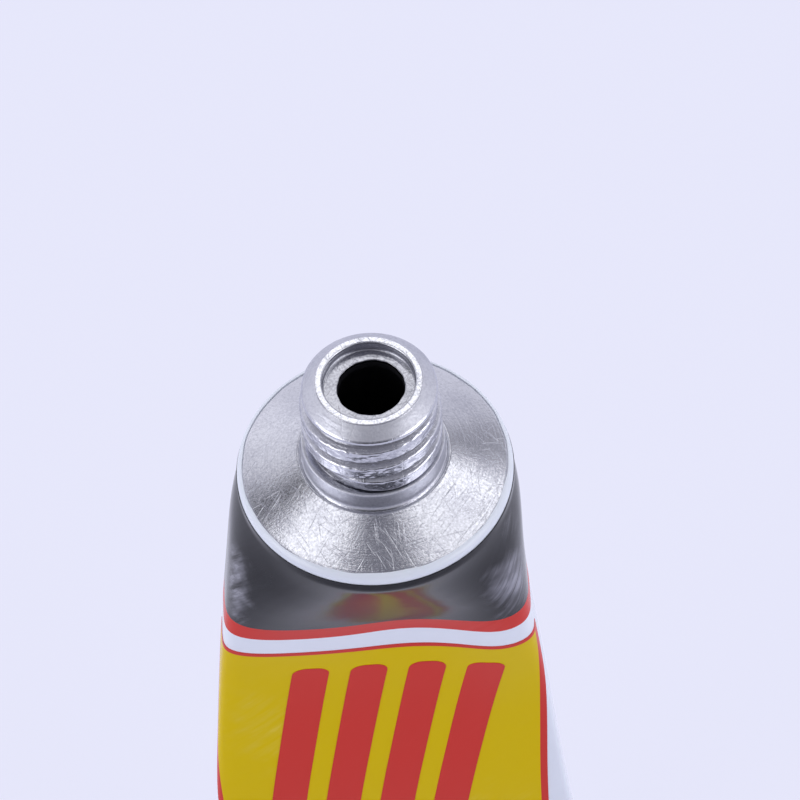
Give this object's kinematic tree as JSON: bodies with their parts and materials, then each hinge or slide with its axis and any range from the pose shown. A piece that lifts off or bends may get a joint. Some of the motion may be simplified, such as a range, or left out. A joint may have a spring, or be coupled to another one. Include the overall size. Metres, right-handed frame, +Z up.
{
  "type": "glue tube",
  "caption": "Small soft aluminium squeeze tube for instant adhesive, with a threaded neck, pierced mouth, printed sleeve and folded tail that bends.",
  "frame": {"origin": "on the floor under the middle of the folded tail, on the neck's axis", "axes": "+Z up along the neck, X along the flat tail, printed front towards -Y"},
  "size_m": [0.021, 0.0138, 0.0542],
  "materials": {
    "bare_aluminium": "turned, scratched",
    "foil": "soft annealed foil",
    "enamelled_foil": "white enamel on foil",
    "latex": "dried latex",
    "adhesive": "clear liquid",
    "white_enamel": "glossy white enamel",
    "black_ink": "glossy print",
    "red_ink": "glossy print",
    "yellow_ink": "glossy print"
  },
  "bodies": {
    "tube": {"tube_head": "bare_aluminium", "sleeve": "foil", "adhesive": "adhesive", "sleeve_coat": "white_enamel", "edge_coat": "white_enamel", "black_band": "black_ink", "red_band": "red_ink", "yellow_panel": "yellow_ink", "panel_border": "red_ink", "red_bars": "red_ink"},
    "tail": {"tail_crimp": "enamelled_foil", "end_seal": "latex"}
  },
  "joints": [
    {"name": "tail_fold", "type": "hinge", "parent": "tube", "child": "tail", "pos_m": [0, 0, 0.005], "axis": [1, 0, 0], "range_deg": [-90, 90]}
  ]
}
